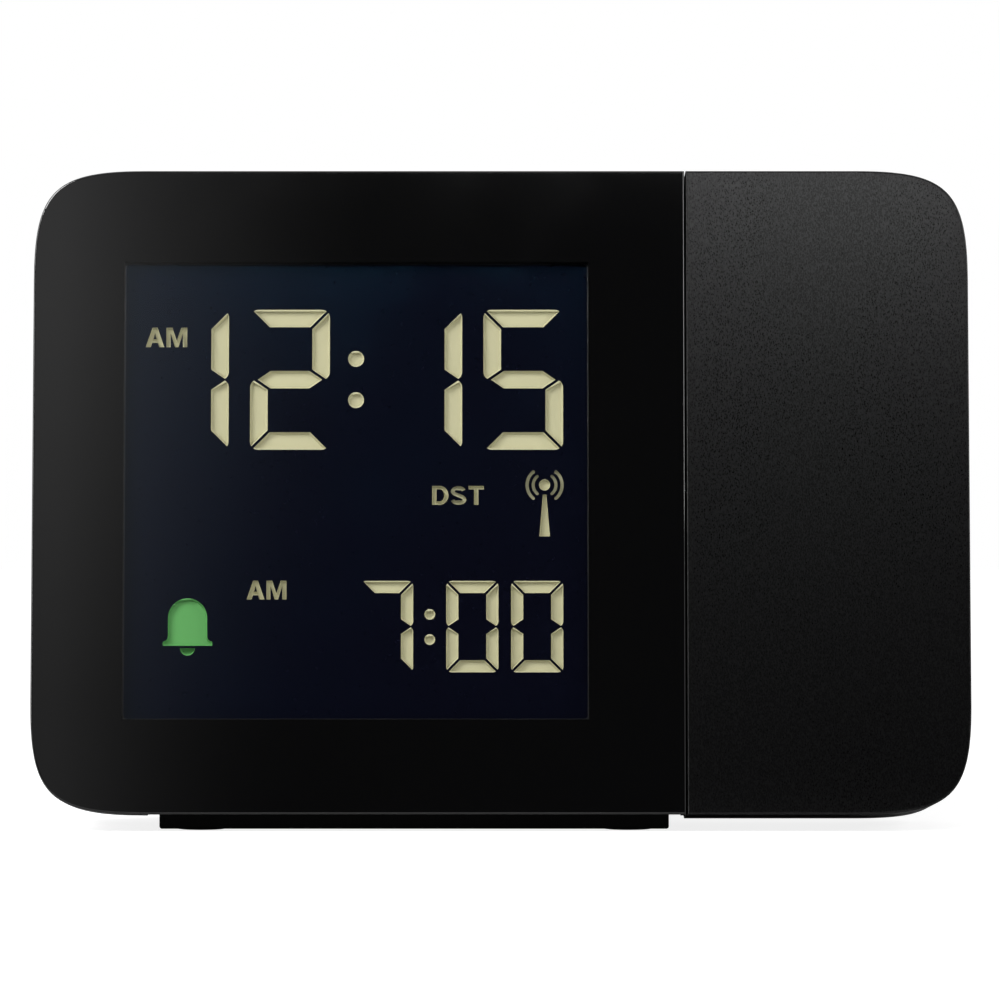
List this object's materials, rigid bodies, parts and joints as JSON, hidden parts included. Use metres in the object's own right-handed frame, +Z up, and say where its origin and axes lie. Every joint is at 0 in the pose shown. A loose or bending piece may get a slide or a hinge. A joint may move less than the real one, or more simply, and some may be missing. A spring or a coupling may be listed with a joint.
{
  "type": "projection alarm clock",
  "caption": "Leaning digital alarm clock with a glossy display face and a turning projector arm beside it.",
  "frame": {"origin": "on the resting surface, under the middle of the clock's bounding box", "axes": "+X to the right seen from the front, +Y towards the back, +Z up"},
  "size_m": [0.14, 0.04, 0.0987],
  "materials": {
    "window": "clear acrylic over black, high gloss",
    "mask": "black print on film",
    "case": "fine satin grain",
    "arm": "fine spark-eroded grain",
    "keys": "satin",
    "inner_plastic": "natural white",
    "lcd": "liquid crystal cell",
    "clear": "polished",
    "guide": "clear acrylic, printed dots",
    "reflector": "white film",
    "board": "green solder mask",
    "chip": "black epoxy",
    "lamp": "diffuse",
    "rubber": "matt",
    "silicone": "matt grey",
    "screw": "black zinc",
    "steel": "bright",
    "battery": "plain can with a sleeve",
    "copper": "lacquered wire",
    "ferrite": "sintered",
    "wire": "insulated"
  },
  "bodies": {
    "clock": {"front_window": "window", "window_mask": "mask", "front_frame": "case", "rear_housing": "case", "body_screws": "screw", "lcd_cell": "lcd", "lcd_frame": "inner_plastic", "light_guide": "guide", "reflector_sheet": "reflector", "backlight_lamps": "lamp", "contact_strip": "silicone", "main_board": "board", "display_driver": "chip", "clock_crystal": "steel", "board_link": "chip", "key_board": "board", "rear_key_mat": "silicone", "alarm_switch": "chip", "snooze_switch": "chip", "batteries": "battery", "battery_contacts": "steel", "buzzer": "chip", "antenna_rod": "ferrite", "antenna_coil": "copper", "antenna_holders": "inner_plastic", "dc_jack": "chip", "body_wires": "wire", "friction_washer": "steel", "foot_base": "case", "foot_screws": "screw", "foot_pads": "rubber"},
    "arm": {"arm_shaft": "steel", "shaft_clip": "steel", "arm_front_shell": "arm", "arm_rear_shell": "arm", "arm_screws": "screw", "lamp_tube": "chip", "lamp_board": "board", "projector_lamp": "lamp", "condenser_lens": "clear", "projector_lcd": "lcd", "lens_ring": "keys", "arm_board": "board", "flip_key_mat": "silicone", "projector_switch": "chip", "arm_wires": "wire"},
    "wheel": {"focus_wheel": "keys"},
    "barrel": {"focus_barrel": "chip", "projection_lens": "clear"},
    "flip_key": {"flip_key": "keys"},
    "projector_slider": {"projector_slider": "keys"},
    "snooze": {"snooze_bar": "keys", "snooze_stem": "chip"},
    "alarm_slider": {"alarm_slider": "keys"},
    "battery_door": {"battery_door": "case"},
    "time_key": {"time_key": "keys"},
    "alarm_key": {"alarm_key": "keys"},
    "plus_key": {"plus_key": "keys"},
    "minus_key": {"minus_key": "keys"},
    "zone_key": {"zone_key": "keys"}
  },
  "joints": [
    {"name": "arm_turn", "type": "hinge", "parent": "clock", "child": "arm", "pos_m": [0.02762, -0.00733, 0.04997], "axis": [1, 0, 0], "range_deg": [-90, 90]},
    {"name": "focus_turn", "type": "hinge", "parent": "arm", "child": "wheel", "pos_m": [0.046, 0.00367, 0.07095], "axis": [0, 0.0976, 0.9952], "range_deg": [-120, 120]},
    {"name": "barrel_slide", "type": "slide", "parent": "arm", "child": "barrel", "axis": [0, 0.0976, 0.9952], "range_m": [-0.001, 0.001]},
    {"name": "flip_press", "type": "slide", "parent": "arm", "child": "flip_key", "axis": [0, -0.9952, 0.0976], "range_m": [0, 0.0006], "stiffness_N_per_m": 1500, "springref_m": -0.0004},
    {"name": "projector_switch_slide", "type": "slide", "parent": "arm", "child": "projector_slider", "axis": [1, 0, 0], "range_m": [0, 0.004]},
    {"name": "snooze_press", "type": "slide", "parent": "clock", "child": "snooze", "axis": [0, -0.0976, -0.9952], "range_m": [0, 0.0008], "stiffness_N_per_m": 1500, "springref_m": -0.0005},
    {"name": "alarm_switch_slide", "type": "slide", "parent": "clock", "child": "alarm_slider", "axis": [1, 0, 0], "range_m": [0, 0.004]},
    {"name": "battery_door_tip", "type": "hinge", "parent": "clock", "child": "battery_door", "pos_m": [-0.021, 0.00813, 0.01444], "axis": [-1, 0, 0], "range_deg": [0, 75]},
    {"name": "time_press", "type": "slide", "parent": "clock", "child": "time_key", "axis": [0, -0.9952, 0.0976], "range_m": [0, 0.0006], "stiffness_N_per_m": 1500, "springref_m": -0.0004},
    {"name": "alarm_press", "type": "slide", "parent": "clock", "child": "alarm_key", "axis": [0, -0.9952, 0.0976], "range_m": [0, 0.0006], "stiffness_N_per_m": 1500, "springref_m": -0.0004},
    {"name": "plus_press", "type": "slide", "parent": "clock", "child": "plus_key", "axis": [0, -0.9952, 0.0976], "range_m": [0, 0.0006], "stiffness_N_per_m": 1500, "springref_m": -0.0004},
    {"name": "minus_press", "type": "slide", "parent": "clock", "child": "minus_key", "axis": [0, -0.9952, 0.0976], "range_m": [0, 0.0006], "stiffness_N_per_m": 1500, "springref_m": -0.0004},
    {"name": "zone_press", "type": "slide", "parent": "clock", "child": "zone_key", "axis": [0, -0.9952, 0.0976], "range_m": [0, 0.0006], "stiffness_N_per_m": 1500, "springref_m": -0.0004}
  ],
  "couplings": [
    {"joint": "barrel_slide", "follows": "focus_turn", "m_per_rad": 0.000477}
  ]
}
